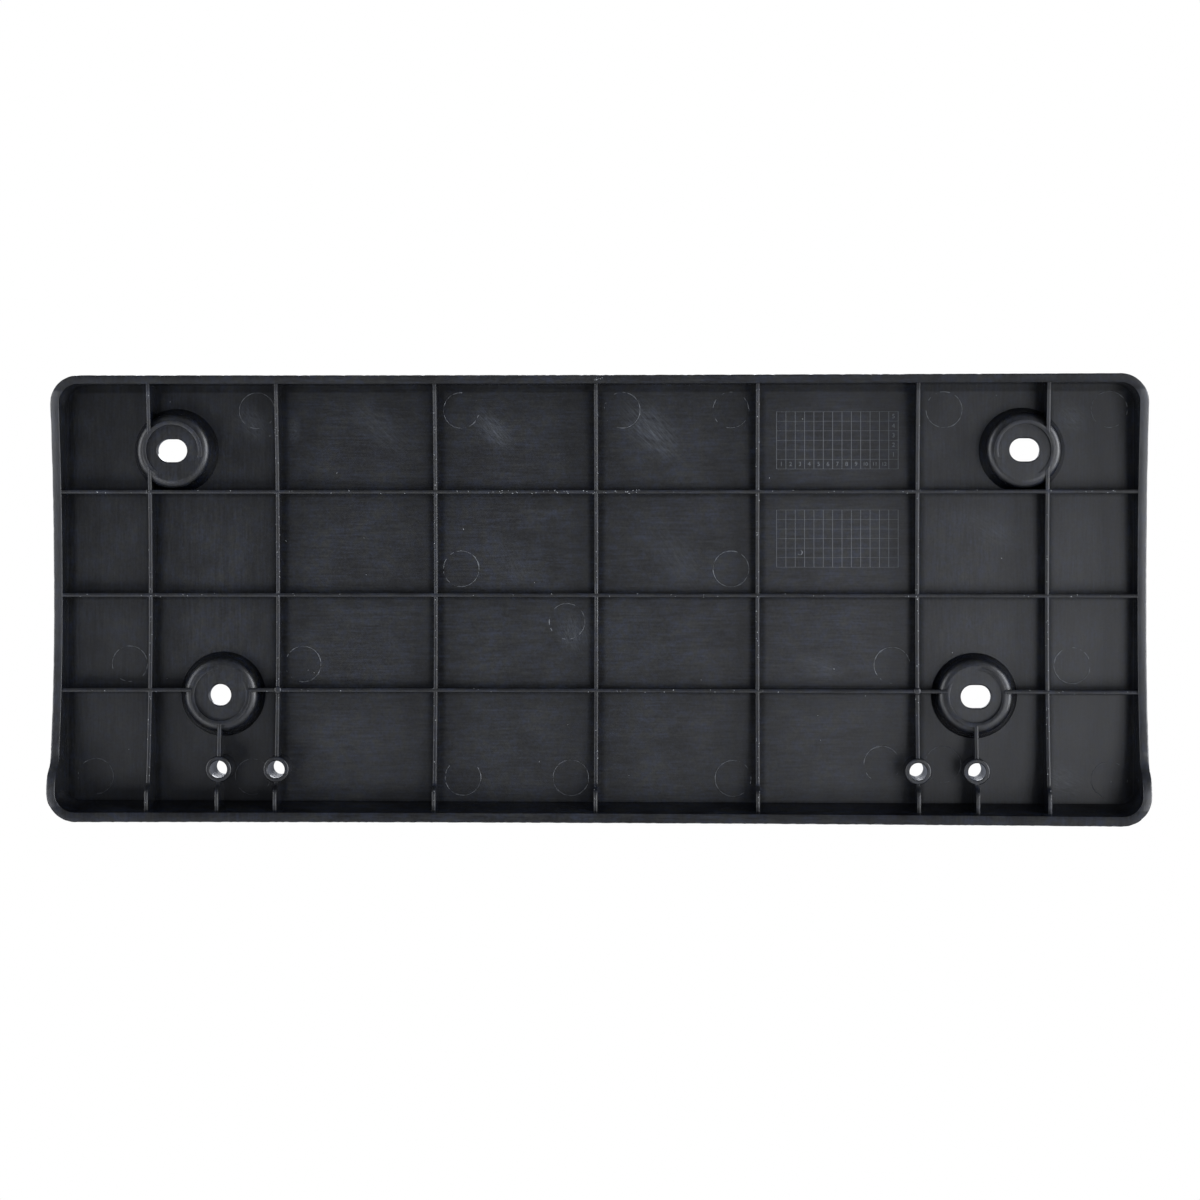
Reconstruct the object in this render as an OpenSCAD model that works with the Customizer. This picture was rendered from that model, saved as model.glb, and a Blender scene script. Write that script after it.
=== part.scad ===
// Number plate holder: a shallow moulded tray that stands between a curved bumper and a plate.
// It is drawn lying on its plate face, as it is seen from the bumper side, and then stood up.
// While it lies, x runs along the tray, y up it and z from the plate face towards the bumper.

/* [Tray] */
// Length of the tray
tray_w = 303; // [250:0.1:360]
// Height of the tray
tray_h = 123.6; // [120:0.1:160]
// Radius of the four outer corners, seen from behind
corner_r = 8; // [5:0.5:14]
// Radius of the edge round the plate face
edge_r = 1.2; // [0.5:0.1:2]
// Thickness of the floor that the plate lies on
floor_t = 2.5; // [2:0.1:4]
// Thickness of the top wall and the side walls
wall_t = 2.4; // [1.8:0.1:3.5]
// Thickness of the bottom wall at its free edge
bottom_wall_t = 2.7; // [2:0.1:4]
// How much thicker the bottom wall is at the floor than at its free edge
bottom_wall_taper = 1.9; // [0.5:0.1:3]

/* [Bumper] */
// Gap between floor and bumper in the middle of the tray, where the ribs are lowest
gap = 4; // [3:0.1:10]
// Radius of the bumper along its length
bumper_r = 2500; // [1500:10:6000]
// Height of the flat band's upper edge above the middle of the tray
band_top = 0; // [0:0.5:10]
// Depth of the flat band's lower edge below the middle of the tray
band_low = 5; // [1:0.5:10]

/* [Rim edge] */
// Radius of the rim's free edge above the flat band
rim_upper_r = 260; // [200:1:800]
// Radius of the rim's free edge below the flat band
rim_lower_r = 150; // [135:1:800]
// Depth below the middle of the tray at which the rim's edge starts to step up
rim_step_y = 42; // [38:0.5:46]
// Run of that step, measured down the tray
rim_step_run = 11; // [8:0.5:13]
// Height of that step
rim_step_h = 6.9; // [4:0.1:7.5]

/* [Rib edges] */
// Radius of the ribs' free edges above the flat band
rib_upper_r = 313; // [270:1:800]
// Radius of the ribs' free edges below the flat band
rib_lower_r = 225; // [180:1:800]
// Depth below the middle of the tray at which the ribs' edges start to step up
rib_step_y = 50.6; // [49:0.1:51]
// Run of that step, measured down the tray
rib_step_run = 3.8; // [3.7:0.1:5]
// Height of that step
rib_step_h = 3.6; // [1:0.1:3.6]

/* [Ribs] */
// Thickness of a rib at the floor
rib_t = 1.3; // [1:0.05:2]
// Draft of a rib on each side, in degrees
rib_draft = 0.5; // [0.25:0.25:1]
// Distance of the inner upright ribs from the middle
rib_inner_x = 44.8; // [40:0.1:60]
// Distance of the outer upright ribs from the tray's ends
rib_outer_inset = 27; // [24.5:0.1:32]
// Height of the three long ribs above the middle of the tray
rib_rows = [29.5, 0.7, -25.8]; // [-40:0.1:40]
// Radius of the small round knot where the lowest long rib crosses the screw ribs
knot_r = 1.1; // [0.8:0.1:2]

/* [Screw cups] */
// Distance of the upper cups from the tray's ends
cup_upper_inset = 33.3; // [27:0.1:40]
// Height of the upper cups above the middle
cup_upper_y = 41; // [38:0.1:43]
// Height of the lower cups, below the middle
cup_lower_y = 27.2; // [26:0.1:29]
// Height of the upper cups' seats above the floor
cup_upper_h = 8.6; // [7:0.1:9]
// Height of the lower cups' seats above the floor
cup_lower_h = 6.4; // [5:0.1:7]
// Radius of a cup at the floor
cup_r = 11.9; // [11:0.1:13]
// Radius of a cup at the round shoulder below its seat
cup_shoulder_r = 10; // [9.6:0.1:10.8]
// Radius of the round shoulder
cup_round = 1.3; // [0.8:0.1:1.5]
// Thickness of the cup's side wall
cup_wall = 2.3; // [1.8:0.1:3]
// Thickness of the cup's end, which the screw head pulls on
cup_end_t = 2.5; // [2:0.1:3.5]
// Outer radius of the lip that is trimmed to the bumper
lip_r = 8.4; // [8:0.1:8.6]
// Width of that lip
lip_w = 1.2; // [0.8:0.1:1.6]
// Diameter of the round fixing hole
fix_hole_d = 6; // [5:0.1:7]
// Width of the slotted fixing holes
slot_w = 6.4; // [5:0.1:7]
// Length of the slotted fixing holes, end to end
slot_l = 8.3; // [7.5:0.1:10]

/* [Plate screw bosses] */
// Distance between the outer pair of plate screws
plate_pitch_outer = 210; // [205:0.1:215]
// Distance between the inner pair of plate screws
plate_pitch_inner = 177.8; // [170:0.1:184]
// Height of the plate screws, below the middle of the tray
boss_y = 47.7; // [45:0.1:50]
// Outer diameter of a boss
boss_d = 7.2; // [6.6:0.1:9]
// Height of a boss above the floor
boss_h = 10.5; // [10:0.1:13]
// Diameter of the hole through a boss
boss_hole_d = 4.5; // [4:0.1:5.4]

/* [Hidden] */
$fn = 128;
over = 1;                                  // how far a cutter or a rib runs past the face it meets
trim_h = 30;                               // height of the walls and ribs before they are trimmed
cup_upper_x = tray_w / 2 - cup_upper_inset;
rib_outer_x = tray_w / 2 - rib_outer_inset;
seat_cup_x = plate_pitch_outer / 2;        // the lower cups stand above the outer plate screws
rib_screw_x = plate_pitch_inner / 2;       // the screw ribs run through the inner plate screws
lip_in_r = lip_r - lip_w;
boss_top = floor_t + boss_h;
// The bumper lies with its crown towards the tray and its axis upright.
axis_z = floor_t + gap + bumper_r;
// Radius above the band, radius below it, then the step's start, run and height.
RIM_EDGE = [rim_upper_r, rim_lower_r, rim_step_y, rim_step_run, rim_step_h];
RIB_EDGE = [rib_upper_r, rib_lower_r, rib_step_y, rib_step_run, rib_step_h];
rim_top = floor_t + gap + fall(rim_lower_r, rim_step_y - band_low) + rim_step_h;
bumper_swing = asin(0.6 * tray_w / bumper_r);
// One entry for each cup: x, y, seat height above the floor, length of its fixing hole.
CUPS = [
    [-cup_upper_x, cup_upper_y, cup_upper_h, slot_l],
    [cup_upper_x, cup_upper_y, cup_upper_h, slot_l],
    [-seat_cup_x, -cup_lower_y, cup_lower_h, fix_hole_d],
    [seat_cup_x, -cup_lower_y, cup_lower_h, slot_l]
];

// How far a circle falls away from its tangent over a run.
function fall(radius, run) = radius - sqrt(pow(radius, 2) - pow(run, 2));

// Section of the whole tray, width wide, with its two edges at the plate face rounded.
module slab_section(width) {
    half = width / 2;
    translate([-half, edge_r]) square([width, trim_h - edge_r]);
    translate([-half + edge_r, 0]) square([width - 2 * edge_r, 2 * edge_r]);
    for (side = [-1, 1]) translate([side * (half - edge_r), edge_r]) circle(r = edge_r);
}

// The tray before it is hollowed: two crossed slabs and four turned corner posts.
module blank() {
    translate([-tray_w / 2 + corner_r, 0, 0]) rotate([90, 0, 90])
        linear_extrude(tray_w - 2 * corner_r) slab_section(tray_h);
    translate([0, tray_h / 2 - corner_r, 0]) rotate([90, 0, 0])
        linear_extrude(tray_h - 2 * corner_r) slab_section(tray_w);
    for (x = [-1, 1], y = [-1, 1])
        translate([x * (tray_w / 2 - corner_r), y * (tray_h / 2 - corner_r), 0]) rotate_extrude()
            intersection() {
                slab_section(2 * corner_r);
                square([corner_r, trim_h]);
            }
}

// Outline of the hollow at the free edge.
module hollow_outline() {
    inner_r = corner_r - wall_t;
    left = tray_w / 2 - wall_t;
    top = tray_h / 2 - wall_t;
    low = tray_h / 2 - bottom_wall_t;
    translate([-left + inner_r, -low]) square([2 * (left - inner_r), top + low]);
    translate([-left, -low + inner_r]) square([2 * left, top + low - 2 * inner_r]);
    for (x = [-1, 1], y = [-low + inner_r, top - inner_r])
        translate([x * (left - inner_r), y]) circle(r = inner_r);
}

// The hollow, whose bottom side leans outwards with the taper of the bottom wall.
module hollow() {
    low = tray_h / 2 - bottom_wall_t;
    taper_h = rim_top - floor_t;
    intersection() {
        translate([0, 0, floor_t]) linear_extrude(trim_h) hollow_outline();
        translate([-tray_w / 2, 0, 0]) rotate([90, 0, 90]) linear_extrude(tray_w) polygon([
            [tray_h / 2, floor_t - over],
            [-low + bottom_wall_taper * (1 + over / taper_h), floor_t - over],
            [-low, floor_t + taper_h],
            [-low, floor_t + trim_h + over],
            [tray_h / 2, floor_t + trim_h + over]
        ]);
    }
}

// One rib along x, from x = 0 to its length, standing on the floor.
module rib(length) {
    foot = rib_t / 2;
    crest = foot - trim_h * tan(rib_draft);
    rotate([90, 0, 90]) linear_extrude(length)
        polygon([[-foot, floor_t - over], [foot, floor_t - over], [crest, trim_h], [-crest, trim_h]]);
}

// Ribs stop inside the walls, half a wall short of the outside.
module ribs() {
    reach_x = tray_w / 2 - wall_t / 2;
    reach_top = tray_h / 2 - wall_t / 2;
    reach_low = tray_h / 2 - bottom_wall_t / 2;
    for (y = rib_rows) translate([-reach_x, y, 0]) rib(2 * reach_x);
    for (x = [-rib_outer_x, -rib_screw_x, -rib_inner_x, 0, rib_inner_x, rib_screw_x, rib_outer_x])
        translate([x, -reach_low, 0]) rotate([0, 0, 90]) rib(reach_low + reach_top);
    for (x = [-seat_cup_x, seat_cup_x])
        translate([x, -reach_low, 0]) rotate([0, 0, 90]) rib(reach_low - cup_lower_y);
    for (x = [-rib_screw_x, rib_screw_x])
        translate([x, rib_rows[2], floor_t - over]) cylinder(r = knot_r, h = trim_h - floor_t);
}

// Space over each cup's seat and each boss, which no rib crosses.
module clearances() {
    for (c = CUPS) translate([c[0], c[1], floor_t + c[2] - over]) cylinder(r = lip_r - 0.1, h = trim_h);
    translate([0, 0, boss_top]) at_bosses() cylinder(d = boss_d + 0.2, h = trim_h);
}

module lip(h) {
    rotate_extrude() translate([lip_in_r, floor_t + h - over]) square([lip_w, trim_h - h - floor_t]);
}

// Section of the bumper: x is the distance from its axis, y the height on the tray.
// Its parts reach into each other, so that only their outer arcs show.
module bumper_section(edge) {
    upper_r = edge[0];
    lower_r = edge[1];
    step_y = edge[2];
    step_run = edge[3];
    step_h = edge[4];
    inside = bumper_r - 60;
    step_top_x = bumper_r - fall(lower_r, step_y - band_low);
    step_low_x = step_top_x - step_h;
    step_low_y = -step_y - step_run;
    arc_r = (pow(step_run / 2, 2) + pow(step_h / 2, 2)) / step_h;
    // Behind everything, as far out as the part below the step.
    translate([inside, -tray_h]) square([step_low_x - inside, 2 * tray_h]);
    translate([inside, -band_low]) square([bumper_r - inside, band_top + band_low]);
    intersection() {
        translate([bumper_r - upper_r, band_top]) circle(r = upper_r);
        translate([inside, band_top - over]) square([bumper_r - inside, tray_h]);
    }
    intersection() {
        translate([bumper_r - lower_r, -band_low]) circle(r = lower_r);
        translate([inside, -step_y]) square([bumper_r - inside, step_y - band_low + over]);
    }
    // The step: a round edge, then a hollow round below it.
    translate([step_top_x - arc_r, -step_y]) circle(r = arc_r);
    difference() {
        translate([inside, step_low_y]) square([step_top_x - step_h / 2 - inside, step_run]);
        translate([step_low_x + arc_r, step_low_y]) circle(r = arc_r);
    }
}

// The bumper as a solid of revolution; free edges are cut to its skin. The ribs and the cups
// have a skin of their own, a little lower than the rim's, so that the rim bears first.
module bumper(edge) {
    translate([0, 0, axis_z]) rotate([0, 90, 0]) rotate([-90, 0, 0]) rotate([0, 0, -bumper_swing])
        rotate_extrude(angle = 2 * bumper_swing, $fn = 720) bumper_section(edge);
}

// Outside of a cup, solid: a leaning side, a round shoulder and a flat seat.
module cup_body(h) {
    top = floor_t + h;
    rotate_extrude() {
        polygon([
            [0, floor_t - over],
            [cup_r, floor_t - over],
            [cup_r, floor_t],
            [cup_shoulder_r, top - cup_round],
            [0, top - cup_round]
        ]);
        square([cup_shoulder_r - cup_round, top]);
        translate([cup_shoulder_r - cup_round, top - cup_round]) intersection() {
            circle(r = cup_round);
            square(2 * cup_round);
        }
    }
}

// Pocket for the screw head, open at the plate face.
module cup_pocket(h) {
    depth = floor_t + h - cup_end_t;
    translate([0, 0, -over]) cylinder(r = cup_r - cup_wall, h = 2 * over);
    cylinder(r1 = cup_r - cup_wall, r2 = cup_shoulder_r - cup_wall, h = depth);
}

// Fixing hole through a cup's end: round where length and width are alike, else slotted along x.
module fixing_hole(length, h) {
    width = min(length, slot_w);
    shift = (length - width) / 2;
    translate([0, 0, h]) linear_extrude(trim_h) {
        for (side = [-1, 1]) translate([side * shift, 0]) circle(d = width);
        if (shift > 0) square([2 * shift, width], center = true);
    }
}

module at_bosses() {
    for (x = [-1, 1], pitch = [plate_pitch_outer, plate_pitch_inner])
        translate([x * pitch / 2, -boss_y, 0]) children();
}

module lying_holder() {
    difference() {
        union() {
            difference() {
                blank();
                hollow();
                bumper(RIM_EDGE);
            }
            difference() {
                union() {
                    difference() {
                        ribs();
                        clearances();
                    }
                    for (c = CUPS) translate([c[0], c[1], 0]) lip(c[2]);
                }
                bumper(RIB_EDGE);
            }
            for (c = CUPS) translate([c[0], c[1], 0]) cup_body(c[2]);
            translate([0, 0, floor_t - over]) at_bosses() cylinder(d = boss_d, h = boss_h + over);
        }
        for (c = CUPS) translate([c[0], c[1], 0]) {
            cup_pocket(c[2]);
            fixing_hole(c[3], c[2] - over);
        }
        translate([0, 0, -over]) at_bosses() cylinder(d = boss_hole_d, h = boss_top + 2 * over);
    }
}

// Stood up: the plate face looks along -Y, the bumper side along +Y.
module holder() {
    color("#2b2d30") rotate([90, 0, 180]) lying_holder();
}

holder();
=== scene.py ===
# %% [markdown]
# # A number plate holder in black polypropylene
#
# The holder is one injection moulding: a shallow tray whose flat front carries the number
# plate. Its back is a grid of thin ribs, cut to the curve of a car's bumper. Four cups take
# the screws that fix it to the car, and four short tubes take the plate's own screws.
#
# The measured solid comes from CAD as a frame of fixed size. This script dresses it: it
# softens the edges, gives the plastic its finish, and adds the small marks that the steel
# mould leaves behind, such as ejector rings, a ruled date table and a ragged parting edge.

import math
import random

import bmesh
import bpy
from mathutils import Matrix, Vector


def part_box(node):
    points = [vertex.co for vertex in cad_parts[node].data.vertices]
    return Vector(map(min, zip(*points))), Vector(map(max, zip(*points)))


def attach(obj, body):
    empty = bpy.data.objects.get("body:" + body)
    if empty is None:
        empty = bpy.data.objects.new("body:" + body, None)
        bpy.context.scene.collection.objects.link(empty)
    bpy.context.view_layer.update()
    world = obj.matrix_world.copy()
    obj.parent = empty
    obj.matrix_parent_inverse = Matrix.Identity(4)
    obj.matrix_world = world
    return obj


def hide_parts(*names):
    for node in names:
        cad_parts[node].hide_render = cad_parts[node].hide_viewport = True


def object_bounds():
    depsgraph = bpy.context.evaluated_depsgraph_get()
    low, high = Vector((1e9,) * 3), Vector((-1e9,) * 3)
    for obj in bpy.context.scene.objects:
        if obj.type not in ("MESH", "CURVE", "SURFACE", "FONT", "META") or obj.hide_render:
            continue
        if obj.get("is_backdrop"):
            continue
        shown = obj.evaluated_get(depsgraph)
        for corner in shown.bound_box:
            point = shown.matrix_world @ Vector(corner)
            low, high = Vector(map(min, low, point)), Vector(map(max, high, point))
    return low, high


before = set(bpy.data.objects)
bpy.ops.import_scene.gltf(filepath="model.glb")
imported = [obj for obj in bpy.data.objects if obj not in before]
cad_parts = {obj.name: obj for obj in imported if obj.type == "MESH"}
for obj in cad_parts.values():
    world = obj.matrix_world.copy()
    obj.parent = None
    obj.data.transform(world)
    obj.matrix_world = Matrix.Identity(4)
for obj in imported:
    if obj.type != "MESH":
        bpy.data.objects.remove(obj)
cad_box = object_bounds()
low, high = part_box("holder")
print("CAD box in mm:", [round(1000 * (b - a), 1) for a, b in zip(low, high)])

# %% [markdown]
# ## One way to write places
#
# The holder stands upright: X runs along it, Z up it, and Y from the plate towards the
# bumper. It is easier to think of it lying on its plate face, as it does in the photograph.
# Then x goes to the right, y up the picture, and h is the height above the plate face. The
# function below turns such a place, in millimetres, into Blender's metres.

# %% Places and sizes in millimetres
MM = 0.001


def place(x, y, h):
    """A point of the lying holder, in mm, as a point of the upright one, in metres."""
    return Vector((-x, h, y)) * MM


half_w = (high[0] - low[0]) / 2 / MM
half_h = (high[2] - low[2]) / 2 / MM
floor_t = 2.5
wall_t = 2.4
bottom_wall_t = 2.7
rib_rows = [29.5, 0.7, -25.8]
rib_inner_x = 44.8
plate_pitch_outer, plate_pitch_inner = 210.0, 177.8
screw_x, seat_cup_x = plate_pitch_inner / 2, plate_pitch_outer / 2
rib_outer_x = half_w - 27.0
print(f"half length {half_w:.1f} mm, half height {half_h:.1f} mm")

# %% [markdown]
# ## The bumper's skin
#
# The free edges of the rim, the ribs and the cups' lips end on the curve of the bumper. Along
# the tray it is part of a very large circle. Up the tray it has a flat band, with a rounder
# part above and below it, and near the bottom the edges step up. The rim stands a little
# prouder than the ribs and steps up earlier, so it has numbers of its own. Everything else
# that needs a height on those edges, here and in the node trees, uses this one rule.

# %% Height of the free edges over the plate face
gap = 4.0
along_r = 2500.0
band_low = 5.0
rim_edge = {"upper_r": 260.0, "lower_r": 150.0, "step_y": 42.0, "step_run": 11.0, "step_h": 6.9}
rib_edge = {"upper_r": 313.0, "lower_r": 225.0, "step_y": 50.6, "step_run": 3.8, "step_h": 3.6}


def fall(radius, run):
    """How far a circle falls away from its tangent over that run."""
    return radius - math.sqrt(max(radius**2 - run**2, 0))


def step_arc(edge):
    """Radius of the two arcs that make up an edge's step."""
    return ((edge["step_run"] / 2) ** 2 + (edge["step_h"] / 2) ** 2) / edge["step_h"]


def edge_height(x, y, edge):
    """Height in mm of a free edge at x, y."""
    half_run = edge["step_run"] / 2
    past = -y - edge["step_y"]
    up = fall(edge["upper_r"], max(y, 0))
    down = fall(edge["lower_r"], min(max(-y - band_low, 0), edge["step_y"] - band_low))
    first = fall(step_arc(edge), min(max(past, 0), half_run))
    second = edge["step_h"] / 2 - fall(step_arc(edge), min(max(2 * half_run - past, 0), half_run))
    return floor_t + gap + fall(along_r, abs(x)) + up + down + first + second


print("rim at the top edge, middle and bottom edge:",
      [round(edge_height(0, y, rim_edge), 1) for y in (half_h, 0, -half_h)])

# %% [markdown]
# ## Colours
#
# Colours are given as sRGB hex values, as in a paint program. Blender's shaders work
# in linear light, so each value passes through one function that removes the sRGB curve.

# %% Colour from a hex value


def colour(hex_value):
    """Linear RGBA from an sRGB hex value such as '#1b1c1e'."""
    channels = [int(hex_value[i:i + 2], 16) / 255 for i in (1, 3, 5)]
    linear = [c / 12.92 if c <= 0.04045 else ((c + 0.055) / 1.055) ** 2.4 for c in channels]
    return (*linear, 1.0)


print("white in linear light:", colour("#ffffff"))

# %% [markdown]
# ## The camera
#
# The photographer stood almost square to the tray, a little less than a metre away, with a
# long lens. The frame was cropped afterwards, so the view's middle isn't where the lens
# points. A shifted lens gives that crop without tilting the picture.

# %% Camera
camera_data = bpy.data.cameras.new("camera")
camera_data.lens = 100.8
camera_data.sensor_width = 36
camera_data.shift_x = 0.0614
camera_data.shift_y = -0.0647
camera = bpy.data.objects.new("camera", camera_data)
bpy.context.collection.objects.link(camera)
camera.location = place(25.7, 21.0, 942.5)
camera.rotation_euler = (math.radians(90), 0, math.radians(182.766))
bpy.context.scene.camera = camera
print("camera", [round(v, 3) for v in camera.location])

# %% [markdown]
# ## The studio
#
# The picture's ground is plain white, but the black plastic mustn't mirror it, or its sheen
# would wash out. So the world is white to the camera only. Reflections meet a dim, slightly
# bluish sheen instead, and all other light is a soft grey. Two long softboxes stand to the
# left and right and draw the bright flanks on the cups. Of two small ones near the camera, one
# brightens the tray's floor towards its right end, the other towards its bottom edge. The fifth
# lights the plate's side for other views. The pale floor lies well below the holder, outside
# the photograph's view.


# %% Helper for nodes
def add(tree, kind, inputs=None, **settings):
    """Adds a node to the tree, with its settings, its input values and its links."""
    node = tree.nodes.new(kind)
    for name, value in settings.items():
        setattr(node, name, value)
    for key, value in (inputs or {}).items():
        if isinstance(value, bpy.types.NodeSocket):
            tree.links.new(value, node.inputs[key])
        else:
            node.inputs[key].default_value = value
    return node


# %% World
world = bpy.data.worlds.new("studio")
bpy.context.scene.world = world
world.use_nodes = True
sky = world.node_tree
sky.nodes.clear()
rays = add(sky, "ShaderNodeLightPath")
soft_grey = add(sky, "ShaderNodeBackground", {"Color": colour("#f4f6fa"), "Strength": 0.25})
sheen = add(sky, "ShaderNodeBackground", {"Color": colour("#e6edff"), "Strength": 0.29})
plain_white = add(sky, "ShaderNodeBackground", {"Color": colour("#ffffff"), "Strength": 1.0})
lit = add(sky, "ShaderNodeMixShader",
          {0: rays.outputs["Is Glossy Ray"], 1: soft_grey.outputs[0], 2: sheen.outputs[0]})
ground = add(sky, "ShaderNodeMixShader",
             {0: rays.outputs["Is Camera Ray"], 1: lit.outputs[0], 2: plain_white.outputs[0]})
add(sky, "ShaderNodeOutputWorld", {"Surface": ground.outputs[0]})
bpy.context.scene.view_settings.view_transform = "Standard"
print("world:", len(sky.nodes), "nodes")


# %% Softboxes
def softbox(name, position, width, height, watts):
    """An area lamp at position, in metres, that faces the holder."""
    lamp = bpy.data.lights.new(name, "AREA")
    lamp.shape = "RECTANGLE"
    lamp.size = width
    lamp.size_y = height
    lamp.energy = watts
    lamp.color = colour("#f7f9fe")[:3]
    box = bpy.data.objects.new(name, lamp)
    bpy.context.collection.objects.link(box)
    box.location = position
    box.rotation_euler = (-Vector(position)).to_track_quat("-Z", "Y").to_euler()
    box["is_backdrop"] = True
    return box


softbox("softbox_left", (0.95, 0.55, 0.15), 0.5, 1.0, 10)
softbox("softbox_right", (-0.95, 0.55, 0.15), 0.5, 1.0, 20)
softbox("softbox_above_right", (-0.45, 1.0, -0.2), 0.35, 0.6, 3.3)
softbox("softbox_above_left", (0.55, 1.0, -0.5), 0.4, 0.4, 3.4)
softbox("softbox_front", (0.3, -1.4, 0.6), 1.2, 0.8, 14)
print("five softboxes")

# %% Pale floor, a round sheet whose edge melts into the white ground
floor_z = -0.30
reach, sides = 0.5, 96
floor_mesh = bpy.data.meshes.new("studio_floor")
ring = [(reach * math.cos(a), reach * math.sin(a), floor_z)
        for a in [2 * math.pi * i / sides for i in range(sides)]]
floor_mesh.from_pydata(ring, [], [list(range(sides))])
studio_floor = bpy.data.objects.new("studio_floor", floor_mesh)
bpy.context.collection.objects.link(studio_floor)
paper = bpy.data.materials.new("matt_white_paper")
paper.use_nodes = True
tree = paper.node_tree
tree.nodes.clear()
rays = add(tree, "ShaderNodeLightPath")
card = add(tree, "ShaderNodeBsdfDiffuse", {"Color": colour("#f2f2f2")})
glow = add(tree, "ShaderNodeEmission", {"Color": colour("#ffffff"), "Strength": 1.0})
# The camera sees seven tenths of the ground's own white, so only a faint shade stays.
share = add(tree, "ShaderNodeMath", {0: rays.outputs["Is Camera Ray"], 1: 0.7}, operation="MULTIPLY")
sheet = add(tree, "ShaderNodeMixShader", {0: share.outputs[0], 1: card.outputs[0], 2: glow.outputs[0]})
add(tree, "ShaderNodeOutputMaterial", {"Surface": sheet.outputs[0]})
floor_mesh.materials.append(paper)
studio_floor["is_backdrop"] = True
print("floor at", floor_z, "m")

# %% [markdown]
# ## Black polypropylene
#
# Polypropylene is a soft, slightly waxy plastic. Filled with carbon black it gives back
# almost no light of its own, so what the eye reads is its sheen: a broad reflection whose
# strength comes from the refractive index, 1.49, and whose blur comes from the mould. The
# floor was milled in strokes: up and down in the end columns, across in between. They show
# as faint streaks, because each stroke tilts the surface and changes its blur a little.
# Pale scuffs lie in a few places, where the plastic was rubbed and turned greyish.
#
# Two more things change the sheen from place to place. Upright faces are smoother than the
# rest, because their steel is polished so that the ribs let go of it. And the sheen is turned
# down beside ribs and walls, on the cups' flanks and on the long edges of the rim, which is
# painted shade, and turned up on the rim's short edges, which is a painted highlight.

# %% Material of the moulding: position and tool strokes
plastic = bpy.data.materials.new("black_polypropylene_moulded")
plastic.use_nodes = True
tree = plastic.node_tree
tree.nodes.clear()
where = add(tree, "ShaderNodeTexCoord").outputs["Object"]
spot = add(tree, "ShaderNodeSeparateXYZ", {0: where}).outputs

stroke_w, stroke_l, mottle_w = 0.45, 6.0, 0.8
thin, long = 1 / (stroke_w * MM), 1 / (stroke_l * MM)
stroke_noise = {"Detail": 4.0, "Roughness": 0.6}
up_down = add(tree, "ShaderNodeMapping", {"Vector": where, "Scale": (thin, thin, long)})
across = add(tree, "ShaderNodeMapping", {"Vector": where, "Scale": (long, thin, thin)})
up_down = add(tree, "ShaderNodeTexNoise", {"Vector": up_down.outputs[0], "Scale": 1.0, **stroke_noise})
across = add(tree, "ShaderNodeTexNoise", {"Vector": across.outputs[0], "Scale": 1.0, **stroke_noise})
# The strokes change direction between these distances from the middle, in mm.
turn_from, turn_to = 86, 92
off_centre = add(tree, "ShaderNodeMath", {0: spot["X"]}, operation="ABSOLUTE").outputs[0]
end_column = add(tree, "ShaderNodeMapRange",
                 {"Value": off_centre, "From Min": turn_from * MM, "From Max": turn_to * MM})
strokes = add(tree, "ShaderNodeMix", {"Factor": end_column.outputs[0], "A": across.outputs["Fac"],
                                      "B": up_down.outputs["Fac"]})
mottle = add(tree, "ShaderNodeTexNoise", {"Vector": where, "Scale": 1 / (mottle_w * MM), **stroke_noise})
strokes = add(tree, "ShaderNodeMix", {"Factor": 0.45, "A": strokes.outputs[0], "B": mottle.outputs["Fac"]})
print("strokes", stroke_w, "mm wide and", stroke_l, "mm long")

# %% Grain, cloudiness and blur
grain_w, cloud_w = 0.35, 9.0
grain = add(tree, "ShaderNodeTexNoise", {"Vector": where, "Scale": 1 / (grain_w * MM), "Detail": 3.0})
cloud = add(tree, "ShaderNodeTexNoise",
            {"Vector": where, "Scale": 1 / (cloud_w * MM), "Detail": 6.0, "Roughness": 0.65})
bumps = add(tree, "ShaderNodeMath", {0: strokes.outputs[0], 1: grain.outputs["Fac"]}, operation="ADD")
relief = add(tree, "ShaderNodeBump",
             {"Height": bumps.outputs[0], "Strength": 0.35, "Distance": 0.03 * MM})
# The blur is 0.27 and up to 0.16 more by the strokes and up to 0.1 more by the clouds.
blur = add(tree, "ShaderNodeMath", {0: strokes.outputs[0], 1: 0.16, 2: 0.27}, operation="MULTIPLY_ADD")
blur = add(tree, "ShaderNodeMath", {0: cloud.outputs["Fac"], 1: 0.1, 2: blur.outputs[0]},
           operation="MULTIPLY_ADD")
print("grain", grain_w, "mm, clouds", cloud_w, "mm")

# %% Upright faces, polished along the draw of the mould
polished_blur = 0.17
normal = add(tree, "ShaderNodeTexCoord").outputs["Normal"]
normal = add(tree, "ShaderNodeSeparateXYZ", {0: normal}).outputs["Y"]
facing = add(tree, "ShaderNodeMath", {0: normal}, operation="ABSOLUTE").outputs[0]
level_face = add(tree, "ShaderNodeMapRange", {"Value": facing, "From Min": 0.15, "From Max": 0.4})
blur = add(tree, "ShaderNodeMix",
           {"Factor": level_face.outputs[0], "A": polished_blur, "B": blur.outputs[0]})
print("roughness of upright faces", polished_blur)

# %% Where the tray's floor is
off_floor = add(tree, "ShaderNodeMath", {0: spot["Y"], 1: floor_t * MM}, operation="SUBTRACT")
off_floor = add(tree, "ShaderNodeMath", {0: off_floor.outputs[0]}, operation="ABSOLUTE")
on_floor = add(tree, "ShaderNodeMapRange",
               {"Value": off_floor.outputs[0], "From Min": 0.1 * MM, "From Max": 0.5 * MM,
                "To Min": 1.0, "To Max": 0.0})
print("floor", floor_t, "mm above the plate face")

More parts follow.
